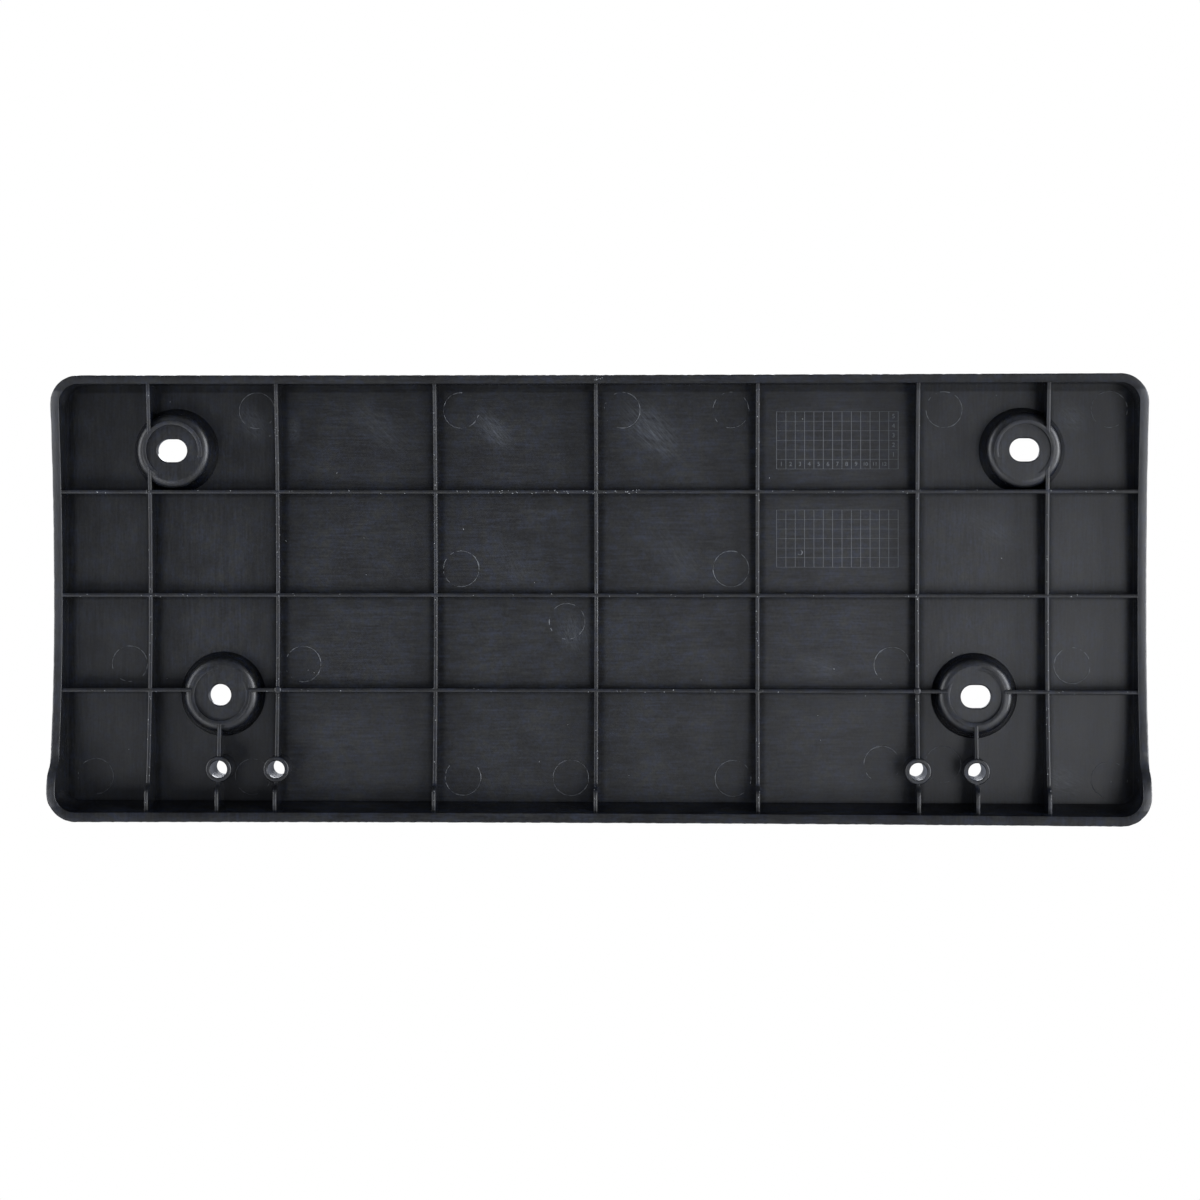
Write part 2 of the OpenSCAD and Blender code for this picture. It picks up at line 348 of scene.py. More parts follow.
# %% Scuffs: soft ovals on the floor, each filled with slanting scratches
# Each scuff: x and y of its middle, half length, half width (mm), slant in degrees, strength.
scuffs = [(-29, 47, 9, 4.5, -45, 1.0), (15, 47, 13, 7, -45, 1.0), (-60, 47, 15, 6, -40, 0.4),
          (-85, 47, 2.2, 5, 0, 0.7), (-97, 49, 7, 5, -50, 0.8), (22, 12, 13, 7, -52, 0.3),
          (-24, 10, 9, 6, -60, 0.25), (110, 19, 12, 5, -30, 0.3), (-6, -10, 7, 6, -70, 0.8),
          (130, -51, 8, 6, -20, 0.8), (63, -19, 9, 4, -15, 0.4), (132, 50, 6, 5, -40, 0.8)]
scratched = None
for x, y, half_long, half_wide, slant, strength in scuffs:
    patch = add(tree, "ShaderNodeMapping",
                {"Vector": where, "Location": place(x, y, 0), "Rotation": (0, math.radians(slant), 0),
                 "Scale": (half_long * MM, 1.0, half_wide * MM)}, vector_type="TEXTURE")
    soft = add(tree, "ShaderNodeTexGradient", {"Vector": patch.outputs[0]}, gradient_type="SPHERICAL")
    finer = add(tree, "ShaderNodeMapping", {"Vector": patch.outputs[0], "Scale": (1.5, 1.0, 9.0)})
    lines = add(tree, "ShaderNodeTexNoise",
                {"Vector": finer.outputs[0], "Scale": 2.0, "Detail": 5.0, "Roughness": 0.7})
    lines = add(tree, "ShaderNodeMapRange", {"Value": lines.outputs["Fac"], "From Min": 0.38,
                                             "From Max": 0.75, "To Max": strength})
    one = add(tree, "ShaderNodeMath", {0: soft.outputs["Fac"], 1: lines.outputs[0]}, operation="MULTIPLY")
    scratched = one if scratched is None else add(
        tree, "ShaderNodeMath", {0: scratched.outputs[0], 1: one.outputs[0]}, operation="MAXIMUM")
scratched = add(tree, "ShaderNodeMath", {0: scratched.outputs[0], 1: on_floor.outputs[0]},
                operation="MULTIPLY")
print(len(scuffs), "scuffs")

# %% Tone: near black, with faint grey and bluish streaks, and the scuffs' grey
tint_w = 2.2
half_cloud = add(tree, "ShaderNodeMath", {0: cloud.outputs["Fac"], 1: 0.5, 2: 0.25},
                 operation="MULTIPLY_ADD")
streaky = add(tree, "ShaderNodeMath", {0: strokes.outputs[0], 1: half_cloud.outputs[0]},
              operation="MULTIPLY")
streaky = add(tree, "ShaderNodeMapRange", {"Value": streaky.outputs[0], "From Min": 0.19, "From Max": 0.35})
tint = add(tree, "ShaderNodeTexNoise", {"Vector": where, "Scale": 1 / (tint_w * MM), "Detail": 3.0})
tint = add(tree, "ShaderNodeMapRange", {"Value": tint.outputs["Fac"], "From Min": 0.4, "From Max": 0.6})
pale = add(tree, "ShaderNodeMix", {"Factor": tint.outputs[0], "A": colour("#1a1b1a"),
                                   "B": colour("#161b27")}, data_type="RGBA")
tone = add(tree, "ShaderNodeMix", {"Factor": streaky.outputs[0], "A": colour("#020203"),
                                   "B": pale.outputs["Result"]}, data_type="RGBA")
tone = add(tree, "ShaderNodeMix", {"Factor": scratched.outputs[0], "A": tone.outputs["Result"],
                                   "B": colour("#484c52")}, data_type="RGBA")
print("tints change every", tint_w, "mm")

# %% Sheen: painted shade beside ribs and walls, on flanks and the rim's long edges; painted highlight on its short edges
full_sheen, flank_painted_shade, short_edge_painted_highlight, long_edge_painted_shade = 0.5, 0.1, 0.75, 0.31
upright_lines = [0.0, rib_inner_x, screw_x, rib_outer_x, half_w - wall_t]
long_lines = [*rib_rows, half_h - wall_t, bottom_wall_t + 1.0 - half_h]
# For each direction: the painted shade runs out between two distances from a line, in mm,
# and the last number is the share of the sheen that it leaves.
painted_shade = None
for socket, lines, near, far, left_over in ((off_centre, upright_lines, 1.2, 2.9, 0.5),
                                            (spot["Z"], long_lines, 0.8, 1.8, 0.65)):
    nearest = None
    for line in lines:
        apart = add(tree, "ShaderNodeMath", {0: socket, 1: line * MM}, operation="SUBTRACT")
        apart = add(tree, "ShaderNodeMath", {0: apart.outputs[0]}, operation="ABSOLUTE")
        nearest = apart if nearest is None else add(
            tree, "ShaderNodeMath", {0: nearest.outputs[0], 1: apart.outputs[0]}, operation="MINIMUM")
    wide = add(tree, "ShaderNodeMapRange",
               {"Value": nearest.outputs[0], "From Min": near * MM, "From Max": far * MM,
                "To Min": left_over * full_sheen, "To Max": full_sheen},
               interpolation_type="SMOOTHSTEP")
    painted_shade = wide if painted_shade is None else add(
        tree, "ShaderNodeMath", {0: painted_shade.outputs[0], 1: wide.outputs[0]}, operation="MINIMUM")
sheen = add(tree, "ShaderNodeMix", {"Factor": on_floor.outputs[0], "A": full_sheen, "B": painted_shade.outputs[0]})
off_middle = add(tree, "ShaderNodeMath", {0: spot["Z"]}, operation="ABSOLUTE").outputs[0]
# The rim's short edges get a painted highlight, a higher sheen, and its long edges painted shade, a lower
# one.
for socket, start, edge_sheen in ((off_centre, half_w - 2.6, short_edge_painted_highlight),
                                  (off_middle, half_h - 4.6, long_edge_painted_shade)):
    at_wall = add(tree, "ShaderNodeMapRange",
                  {"Value": socket, "From Min": start * MM, "From Max": (start + 0.5) * MM})
    sheen = add(tree, "ShaderNodeMix",
                {"Factor": at_wall.outputs[0], "A": sheen.outputs[0], "B": edge_sheen})
# Flanks are the faces that lean a little; a low sheen on them paints shade there too.
leans = add(tree, "ShaderNodeMapRange", {"Value": facing, "From Min": 0.08, "From Max": 0.12})
steep = add(tree, "ShaderNodeMapRange",
            {"Value": facing, "From Min": 0.3, "From Max": 0.45, "To Min": 1.0, "To Max": 0.0})
flank = add(tree, "ShaderNodeMath", {0: leans.outputs[0], 1: steep.outputs[0]}, operation="MULTIPLY")
sheen = add(tree, "ShaderNodeMix", {"Factor": flank.outputs[0], "A": sheen.outputs[0], "B": flank_painted_shade})
body = add(tree, "ShaderNodeBsdfPrincipled",
           {"Base Color": tone.outputs["Result"], "Roughness": blur.outputs[0], "IOR": 1.49,
            "Specular IOR Level": sheen.outputs[0], "Normal": relief.outputs[0]})
add(tree, "ShaderNodeOutputMaterial", {"Surface": body.outputs[0]})
print("plastic:", len(tree.nodes), "nodes")

# %% [markdown]
# ## The moulding, form by form
#
# The holder came out of the mould in one piece, so it ends as one closed mesh here too. The
# CAD mesh could be shown as it is, but its edges are knife sharp. Every edge of a real
# moulding is a little round, because the cutter that made the mould was, and those rounds
# catch the light as thin bright lines. So each form is built again from the same sizes,
# with its rounds in it, and the forms are then joined and cut like solids.
#
# The first helper makes a closed solid from rings of points: neighbouring rings are joined
# with quads, and the two ends are capped.

# %% Helper for a solid from rings


def arc(cx, cy, radius, start, end, steps=3):
    """Points of an arc about (cx, cy), from the start to the end angle in degrees."""
    turns = [math.radians(start + (end - start) * i / steps) for i in range(steps + 1)]
    return [(cx + radius * math.cos(t), cy + radius * math.sin(t)) for t in turns]


def solid(name, rings):
    """A closed mesh object, in mm, through rings of points that lie one above another."""
    work = bmesh.new()
    loops = [[work.verts.new(point) for point in ring] for ring in rings]
    for one, two in zip(loops, loops[1:]):
        for i in range(len(one)):
            j = (i + 1) % len(one)
            work.faces.new((one[i], one[j], two[j], two[i]))
    work.faces.new(loops[0])
    work.faces.new(loops[-1])
    bmesh.ops.recalc_face_normals(work, faces=work.faces)
    mesh = bpy.data.meshes.new(name)
    work.to_mesh(mesh)
    work.free()
    made = bpy.data.objects.new(name, mesh)
    bpy.context.collection.objects.link(made)
    return made


# %% [markdown]
# ## Floor and rim
#
# The tray is a section that travels round a rounded rectangle: out of the plate face, round
# its edge, up the wall, over the free edge, down the inside and round into the floor. At
# every station the free edge takes its height from the bumper's skin, so the stations stand
# closer where the skin steps back. The bottom wall leans, so it is thicker at the floor.

# %% The tray
corner_r = 8.0
plate_edge_r = 1.2
free_edge_r = 0.35
inner_edge_r = 0.15
worn_strip = 0.9
bottom_wall_taper = 1.9
flat_x, flat_y = half_w - corner_r, half_h - corner_r


def outline():
    """Places round the tray with their outward directions, counterclockwise."""
    across = [flat_x * (1 - 2 * i / 300) for i in range(1, 300)]
    fine = [-flat_y + 0.4 * i for i in range(1, 33)]
    coarse = [fine[-1] + (flat_y - fine[-1]) * i / 60 for i in range(1, 60)]
    up = fine + coarse
    stations = []
    for quarter in range(4):
        cx = flat_x if quarter in (0, 3) else -flat_x
        cy = flat_y if quarter in (0, 1) else -flat_y
        for nx, ny in arc(0, 0, 1, 90 * quarter, 90 * quarter + 90, 14):
            stations.append((cx + corner_r * nx, cy + corner_r * ny, nx, ny))
        if quarter == 0:
            stations += [(x, half_h, 0, 1) for x in across]
        elif quarter == 1:
            stations += [(-half_w, y, -1, 0) for y in reversed(up)]
        elif quarter == 2:
            stations += [(-x, -half_h, 0, -1) for x in across]
        else:
            stations += [(half_w, y, 1, 0) for y in up]
    return stations


def rim_section(x, y, nx, ny, ragged):
    """The section at one station, from the plate face over the free edge to the floor."""
    low_side = max(0.0, -ny) ** 2
    thick = wall_t + (bottom_wall_t - wall_t) * low_side
    foot = thick + bottom_wall_taper * low_side
    plate_edge = arc(plate_edge_r, plate_edge_r, plate_edge_r, 270, 180, 5)
    free_edge = arc(free_edge_r + ragged, -free_edge_r, free_edge_r, 180, 90)
    free_edge += arc(thick - inner_edge_r, -inner_edge_r, inner_edge_r, 90, 0)
    points = [(x - d * nx, y - d * ny, h) for d, h in plate_edge]
    points.append((x, y, edge_height(x, y, rim_edge) - worn_strip))
    for d, drop in free_edge:
        there = (x - d * nx, y - d * ny)
        points.append((*there, edge_height(*there, rim_edge) + drop))
    points.append((x - foot * nx, y - foot * ny, floor_t))
    return points


# The steel's edge is worn: mostly a few hundredths of a millimetre, more along the bottom.
# The wear stays within a narrow strip, so that the outer faces are flat below it.
most_wear, most_wear_low = 0.07, 0.28
wear = random.Random(4)
sections = []
for station in outline():
    most = most_wear_low if station[3] < -0.5 else most_wear
    sections.append(rim_section(*station, ragged=most * wear.random() ** 3))
tray = solid("tray", list(zip(*sections)))
print("tray:", len(tray.data.polygons), "faces")

# %% [markdown]
# ## The ribs, with Geometry Nodes
#
# A rib is a thin blade with a little draft, so that it lets go of the mould, and a rounded
# crest. All twelve follow one rule, so one node tree makes them: a line on the floor is cut
# into short steps, a tall section is swept along it, and the section's upper half is lifted
# until its crest lies on the bumper's skin. The skin's formula is a node group of its own.

# %% Node group for the ribs' free edge


def new_tree(name, sockets):
    """A Geometry Nodes tree with these (name, in or out, kind) sockets, and its two ends."""
    tree = bpy.data.node_groups.new(name, "GeometryNodeTree")
    for label, side, kind in sockets:
        tree.interface.new_socket(label, in_out=side, socket_type="NodeSocket" + kind)
    return tree, tree.nodes.new("NodeGroupInput").outputs, tree.nodes.new("NodeGroupOutput").inputs


def add_fall(tree, radius, run):
    """Nodes for fall(), with the run from a socket."""
    square = add(tree, "ShaderNodeMath", {0: run, 1: run}, operation="MULTIPLY")
    rest = add(tree, "ShaderNodeMath", {0: radius**2, 1: square.outputs[0]}, operation="SUBTRACT")
    root = add(tree, "ShaderNodeMath", {0: rest.outputs[0]}, operation="SQRT")
    return add(tree, "ShaderNodeMath", {0: radius, 1: root.outputs[0]}, operation="SUBTRACT").outputs[0]


def add_run(tree, y, direction, start, longest):
    """Nodes for how far y lies past a start, in one direction and held within a length."""
    past = add(tree, "ShaderNodeMath", {0: y, 1: direction, 2: -direction * start},
               operation="MULTIPLY_ADD")
    above = add(tree, "ShaderNodeMath", {0: past.outputs[0], 1: 0.0}, operation="MAXIMUM")
    return add(tree, "ShaderNodeMath", {0: above.outputs[0], 1: longest}, operation="MINIMUM").outputs[0]


edge_tree, _, edge_out = new_tree("rib_edge_height", [("Height", "OUTPUT", "Float")])
spot = add(edge_tree, "ShaderNodeSeparateXYZ",
           {0: edge_tree.nodes.new("GeometryNodeInputPosition").outputs[0]}).outputs
step_y, half_run = rib_edge["step_y"], rib_edge["step_run"] / 2
arc_r = step_arc(rib_edge)
falls = [
    add_fall(edge_tree, along_r, spot["X"]),
    add_fall(edge_tree, rib_edge["upper_r"], add_run(edge_tree, spot["Y"], 1, 0, 2 * half_h)),
    add_fall(edge_tree, rib_edge["lower_r"],
             add_run(edge_tree, spot["Y"], -1, -band_low, step_y - band_low)),
    add_fall(edge_tree, arc_r, add_run(edge_tree, spot["Y"], -1, -step_y, half_run)),
]
second_arc = add_fall(edge_tree, arc_r,
                      add_run(edge_tree, spot["Y"], 1, -step_y - 2 * half_run, half_run))
base = floor_t + gap + rib_edge["step_h"] / 2
total = add(edge_tree, "ShaderNodeMath", {0: base, 1: second_arc}, operation="SUBTRACT")
for one_fall in falls:
    total = add(edge_tree, "ShaderNodeMath", {0: total.outputs[0], 1: one_fall}, operation="ADD")
edge_tree.links.new(total.outputs[0], edge_out["Height"])
print("edge group:", len(edge_tree.nodes), "nodes")

# %% Node tree for a rib
section_h = 10.0
rib_foot = floor_t - 1.0
rib_tree, rib_in, rib_out = new_tree("rib", [
    ("Rib", "OUTPUT", "Geometry"), ("Start", "INPUT", "Vector"), ("End", "INPUT", "Vector"),
    ("Foot Width", "INPUT", "Float"), ("Crest Width", "INPUT", "Float"), ("Round", "INPUT", "Float"),
    ("Lower By", "INPUT", "Float"), ("Step", "INPUT", "Float"), ("Material", "INPUT", "Material")])
line = add(rib_tree, "GeometryNodeCurvePrimitiveLine", {"Start": rib_in["Start"], "End": rib_in["End"]})
steps = add(rib_tree, "GeometryNodeResampleCurve",
            {"Curve": line.outputs[0], "Length": rib_in["Step"]}, mode="LENGTH")
upright = add(rib_tree, "GeometryNodeSetCurveNormal", {"Curve": steps.outputs[0]}, mode="Z_UP")
blade = add(rib_tree, "GeometryNodeCurvePrimitiveQuadrilateral",
            {"Height": section_h, "Bottom Width": rib_in["Foot Width"],
             "Top Width": rib_in["Crest Width"], "Offset": 0.0}, mode="TRAPEZOID")
rounded = add(rib_tree, "GeometryNodeFilletCurve",
              {"Curve": blade.outputs[0], "Count": 2, "Radius": rib_in["Round"]}, mode="POLY")
swept = add(rib_tree, "GeometryNodeCurveToMesh",
            {"Curve": upright.outputs[0], "Profile Curve": rounded.outputs[0], "Fill Caps": True})
spot = add(rib_tree, "ShaderNodeSeparateXYZ",
           {0: rib_tree.nodes.new("GeometryNodeInputPosition").outputs[0]}).outputs
height = add(rib_tree, "GeometryNodeGroup", node_tree=edge_tree)
crest = add(rib_tree, "ShaderNodeMath", {0: height.outputs[0], 1: rib_in["Lower By"]},
            operation="SUBTRACT")
crest = add(rib_tree, "ShaderNodeMath", {0: crest.outputs[0], 1: -section_h / 2}, operation="ADD")
upper = add(rib_tree, "ShaderNodeMath", {0: spot["Z"], 1: 0.0}, operation="GREATER_THAN")
lift = add(rib_tree, "ShaderNodeMix",
           {"Factor": upper.outputs[0], "A": rib_foot + section_h / 2, "B": crest.outputs[0]})
offset = add(rib_tree, "ShaderNodeCombineXYZ", {"Z": lift.outputs[0]})
moved = add(rib_tree, "GeometryNodeSetPosition",
            {"Geometry": swept.outputs[0], "Offset": offset.outputs[0]})
real = add(rib_tree, "GeometryNodeRealizeInstances", {"Geometry": moved.outputs[0]})
painted = add(rib_tree, "GeometryNodeSetMaterial",
              {"Geometry": real.outputs[0], "Material": rib_in["Material"]})
rib_tree.links.new(painted.outputs[0], rib_out["Rib"])
print("rib tree:", len(rib_tree.nodes), "nodes")


# %% Helper to run a tree
def grow(name, tree, values, places=()):
    """Runs the tree on these places with these input values, and gives a plain mesh object."""
    seed = bpy.data.objects.new(name, bpy.data.meshes.new(name))
    seed.data.from_pydata(places, [], [])
    bpy.context.collection.objects.link(seed)
    grower = seed.modifiers.new("grow", "NODES")
    grower.node_group = tree
    for item in tree.interface.items_tree:
        if item.in_out == "INPUT" and item.name in values:
            grower[item.identifier] = values[item.name]
    mesh = bpy.data.meshes.new_from_object(seed.evaluated_get(bpy.context.evaluated_depsgraph_get()))
    seed.modifiers.clear()
    seed.data = mesh
    return seed


# %% The ribs
rib_t, rib_crest_t, crest_round = 1.16, 0.94, 0.4
cup_upper_x, cup_upper_y, cup_lower_y = half_w - 33.3, 41.0, -27.2
rib_columns = [side * x for x in (rib_inner_x, screw_x, rib_outer_x) for side in (-1, 1)] + [0.0]
reach_x = half_w - wall_t / 2
reach_top, reach_low = half_h - wall_t / 2, half_h - bottom_wall_t / 2
# For each direction: how far the crest is lowered, and the length of its steps, in mm. Where
# ribs cross, one crest lies a hair lower, so that no two faces share a plane.
long_rib, upright_rib = (0.02, 2.0), (0.05, 0.5)
runs = [((-reach_x, y, 0), (reach_x, y, 0), *long_rib) for y in rib_rows]
runs += [((x, -reach_low, 0), (x, reach_top, 0), *upright_rib) for x in rib_columns]
runs += [((x, -reach_low, 0), (x, cup_lower_y, 0), *upright_rib) for x in (-seat_cup_x, seat_cup_x)]
ribs = []
for start, end, lower_by, step in runs:
    rib = grow("rib", rib_tree, {
        "Start": start, "End": end, "Foot Width": rib_t, "Crest Width": rib_crest_t,
        "Round": crest_round, "Lower By": lower_by, "Step": step, "Material": plastic})
    work = bmesh.new()
    work.from_mesh(rib.data)
    bmesh.ops.recalc_face_normals(work, faces=work.faces)
    work.to_mesh(rib.data)
    work.free()
    ribs.append(rib)
print(len(ribs), "ribs,", sum(len(rib.data.polygons) for rib in ribs), "faces")

# %% [markdown]
# ## Screw cups, bosses and their holes
#
# The cups and the screw bosses were turned in the mould's steel, so they are lathe work here
# as well: a half section in (radius, height) goes once round. The cup leans inwards, ends in
# a round shoulder and a flat seat, and round the seat runs a lip that the skin cuts into a
# crescent. Cutters of the same kind make the pockets for the screw heads and the holes. Two
# small knots stand where the lowest long rib crosses the ribs of the inner bosses.


# %% Helper for turned forms
def turned(name, x, y, section, segments=96):
    """A solid of revolution about an upright line through x, y."""
    around = arc(0, 0, 1, 0, 360, segments)[:-1]
    return solid(name, [[(x + r * c, y + r * s, h) for c, s in around] for r, h in section])


def slotted(name, x, y, sizes):
    """A solid through slot outlines, each (length, width, height), long along x."""
    rings = []
    for length, width, h in sizes:
        shift = (length - width) / 2
        ends = arc(shift, 0, width / 2, -90, 90, 24) + arc(-shift, 0, width / 2, 90, 270, 24)
        rings.append([(x + px, y + py, h) for px, py in ends])
    return solid(name, rings)


lip_r, lip_w, lip_round = 8.4, 1.2, 0.12
lip_worn = 0.3


def lip(name, x, y, seat):
    """The ring round a seat, whose free edge follows the bumper's skin."""
    inner = lip_r - lip_w
    section = arc(lip_r - lip_round, -lip_round, lip_round, 0, 90, 2)
    section += arc(inner + lip_round, -lip_round, lip_round, 90, 180, 2)
    around = arc(0, 0, 1, 0, 360, 96)[:-1]
    rings = [[(x + lip_r * c, y + lip_r * s, seat - 0.8) for c, s in around]]
    for r, drop in section:
        spots = [(x + r * c, y + r * s) for c, s in around]
        tops = [max(edge_height(*spot, rib_edge) - lip_worn, seat - 0.2) for spot in spots]
        rings.append([(*spot, top + drop) for spot, top in zip(spots, tops)])
    rings.append([(x + inner * c, y + inner * s, seat - 0.5) for c, s in around])
    return solid(name, rings)


# %% Cups with their lips, pockets and holes
cup_r, cup_shoulder_r, cup_round, cup_wall, cup_end_t = 11.9, 10.5, 2.1, 2.3, 2.5
upper_seat_h, lower_seat_h = 8.6, 6.4
slot_w, slot_l, fix_hole_d, hole_round = 6.4, 8.3, 6.02, 0.3
mouth_round, pocket_draft, pocket_bevel = 0.4, 0.5, 0.3
sky_h = 40.0
# Each cup: x, y, height of its seat over the floor, length and width of its hole.
cups = [(-cup_upper_x, cup_upper_y, upper_seat_h, slot_l, slot_w),
        (cup_upper_x, cup_upper_y, upper_seat_h, slot_l, slot_w),
        (-seat_cup_x, cup_lower_y, lower_seat_h, fix_hole_d, fix_hole_d - 0.02),
        (seat_cup_x, cup_lower_y, lower_seat_h, slot_l, slot_w)]
added, clearances, cutters = [], [], []
for x, y, seat, length, width in cups:
    top = floor_t + seat
    flank = [(0, rib_foot), (cup_r, rib_foot), (cup_r, floor_t)]
    shoulder = arc(cup_shoulder_r - cup_round, top - cup_round, cup_round, 0, 90, 7)
    added.append(turned("cup", x, y, [*flank, *shoulder, (0, top)]))
    free_r = lip_r - 0.3
    clearances.append(turned("clearance", x, y,
                             [(0, top - 1), (free_r, top - 1), (free_r, sky_h), (0, sky_h)]))
    depth = top - cup_end_t
    mouth = cup_r - cup_wall + mouth_round
    end = cup_shoulder_r - cup_wall - pocket_draft
    cutters.append(turned("pocket", x, y, [
        (0, -1), (mouth, -1), *arc(mouth, mouth_round, mouth_round, 270, 180),
        (end, depth - pocket_bevel), (end - pocket_bevel, depth), (0, depth)]))
    sizes = [(2 * wider + length, 2 * wider + width, h) for wider, h in
             [(hole_round + 0.4, depth - 0.4), (hole_round, depth), (0, depth + hole_round),
              (0, top - hole_round), (hole_round, top), (hole_round + 0.4, top + 0.4)]]
    cutters.append(slotted("fixing_hole", x, y, sizes))
    added.append(lip("lip", x, y, top))
print(len(cups), "cups")

# %% Bosses for the plate's screws, and the knots
boss_y, boss_d, boss_h, boss_round, boss_hole_d = -47.7, 7.2, 10.5, 0.4, 4.5
knot_r, knot_round, knot_proud = 1.1, 0.6, 0.35
boss_top = floor_t + boss_h
boss_r, hole_r = boss_d / 2, boss_hole_d / 2
# The hole opens a little towards the bumper and has a bevel at both ends.
hole_section = [(0, -1), (hole_r, -1), (hole_r, 0), (hole_r - 0.1, 0.2),
                (hole_r + 0.15, boss_top - 0.25), (hole_r + 0.4, boss_top),
                (hole_r + 0.4, boss_top + 1), (0, boss_top + 1)]
for x in (-seat_cup_x, -screw_x, screw_x, seat_cup_x):
    free_r = boss_r + 0.1
    clearances.append(turned("clearance", x, boss_y,
                             [(0, boss_top), (free_r, boss_top), (free_r, sky_h), (0, sky_h)]))
    edge = arc(boss_r - boss_round, boss_top - boss_round, boss_round, 0, 90, 4)
    added.append(turned("boss", x, boss_y, [(0, rib_foot), (boss_r, rib_foot), *edge, (0, boss_top)], 64))
    cutters.append(turned("screw_hole", x, boss_y, hole_section, 64))
for x in (-screw_x, screw_x):
    knot_top = edge_height(x, rib_rows[2], rib_edge) + knot_proud
    dome = arc(knot_r - knot_round, knot_top - knot_round, knot_round, 0, 90, 4)
    added.append(turned("knot", x, rib_rows[2],
                        [(0, rib_foot), (knot_r, rib_foot), *dome, (0, knot_top)], 24))
print(len(added), "forms to add,", len(cutters), "to cut")

# %% [markdown]
# ## Joining and cutting
#
# The Boolean modifier joins and cuts closed solids. Its Manifold solver is made for meshes
# without gaps, as these are, and it is quick. First the ribs become one grid and give way
# over the seats, then everything is joined to the tray, and the pockets and holes are cut
# last. Only then is the moulding scaled and stood upright. Faces that lie square to an axis
# are shaded flat and the rounds between them smooth, so no false gradient runs over a flat.


# %% Helper for Boolean work
def combine(base, parts, operation):
    """Joins the parts to the base mesh, or cuts them from it, and removes them."""
    for part in parts:
        step = base.modifiers.new(operation.lower(), "BOOLEAN")
        step.operation = operation
        step.solver = "MANIFOLD"
        step.object = part
    whole = base.evaluated_get(bpy.context.evaluated_depsgraph_get())
    mesh = bpy.data.meshes.new_from_object(whole)
    base.modifiers.clear()
    base.data = mesh
    for part in parts:
        bpy.data.objects.remove(part)
    return base


# %% One moulding
sharp_from = 38
rib_grid = combine(ribs[0], ribs[1:], "UNION")
rib_grid = combine(rib_grid, clearances, "DIFFERENCE")
moulding = combine(tray, [rib_grid, *added], "UNION")
moulding = combine(moulding, cutters, "DIFFERENCE")
stand_up = Matrix(((-MM, 0, 0, 0), (0, 0, MM, 0), (0, MM, 0, 0), (0, 0, 0, 1)))
moulding.data.transform(stand_up)
moulding.data.set_sharp_from_angle(angle=math.radians(sharp_from))
for face in moulding.data.polygons:
    face.use_smooth = max(abs(n) for n in face.normal) < 0.9999
    face.material_index = 0
moulding.name = moulding.data.name = "moulding"
moulding.data.materials.clear()
moulding.data.materials.append(plastic)
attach(moulding, "root")
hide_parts("holder")
work = bmesh.new()
work.from_mesh(moulding.data)
print("moulding:", len(work.faces), "faces, open edges:",
      sum(not edge.is_manifold for edge in work.edges),
      "volume in mm3:", round(work.calc_volume() / MM**3))
work.free()

# %% [markdown]
# ## Ejector marks
#
# Round pins push the moulding out of the steel. Each pin ends flush with the floor and
# leaves a hairline ring where plastic crept into its gap. The rings repeat, so one node tree
# sets the same thin bead on a list of places, turns each by a random amount, and tilts and
# sinks it a little. The bead's thickness comes and goes round the ring, as on real marks,
# which are never complete.

# %% Material of the raised marks: rubbed, so paler and drier than the floor round them
rubbed = bpy.data.materials.new("rubbed_polypropylene_flash")
rubbed.use_nodes = True
tree = rubbed.node_tree
tree.nodes.clear()
body = add(tree, "ShaderNodeBsdfPrincipled",
           {"Base Color": colour("#4c4f53"), "Roughness": 0.5, "IOR": 1.49})
add(tree, "ShaderNodeOutputMaterial", {"Surface": body.outputs[0]})
print(rubbed.name)

# %% Node tree for ejector marks
mark_tree, mark_in, mark_out = new_tree("ejector_mark_beads", [
    ("Marks", "OUTPUT", "Geometry"), ("Places", "INPUT", "Geometry"), ("Diameter", "INPUT", "Float"),
    ("Bead", "INPUT", "Float"), ("Material", "INPUT", "Material")])
radius = add(mark_tree, "ShaderNodeMath", {0: mark_in["Diameter"], 1: 0.5}, operation="MULTIPLY")
circle = add(mark_tree, "GeometryNodeCurvePrimitiveCircle", {"Resolution": 96, "Radius": radius.outputs[0]})
uneven = add(mark_tree, "ShaderNodeTexNoise", {"Scale": 0.5, "Detail": 2.0}, noise_dimensions="3D")
thick = add(mark_tree, "ShaderNodeMapRange",
            {"Value": uneven.outputs["Fac"], "From Min": 0.4, "From Max": 0.65,
             "To Min": 0.1, "To Max": 1.15})
wire = add(mark_tree, "GeometryNodeSetCurveRadius", {"Curve": circle.outputs[0], "Radius": thick.outputs[0]})
section = add(mark_tree, "GeometryNodeCurvePrimitiveCircle", {"Resolution": 8, "Radius": mark_in["Bead"]})
bead = add(mark_tree, "GeometryNodeCurveToMesh",
           {"Curve": wire.outputs[0], "Profile Curve": section.outputs[0], "Scale": thick.outputs[0]})
points = add(mark_tree, "GeometryNodeMeshToPoints", {"Mesh": mark_in["Places"]})
turn = add(mark_tree, "FunctionNodeRandomValue",
           {"Min": (-0.02, -0.02, 0), "Max": (0.02, 0.02, 2 * math.pi), "Seed": 3}, data_type="FLOAT_VECTOR")
copies = add(mark_tree, "GeometryNodeInstanceOnPoints",
             {"Points": points.outputs[0], "Instance": bead.outputs[0], "Rotation": turn.outputs[0]})
sink = add(mark_tree, "FunctionNodeRandomValue", {"Min": (0, 0, -0.1), "Max": (0, 0, 0.02), "Seed": 6},
           data_type="FLOAT_VECTOR")
sunk = add(mark_tree, "GeometryNodeTranslateInstances",
           {"Instances": copies.outputs[0], "Translation": sink.outputs[0]})
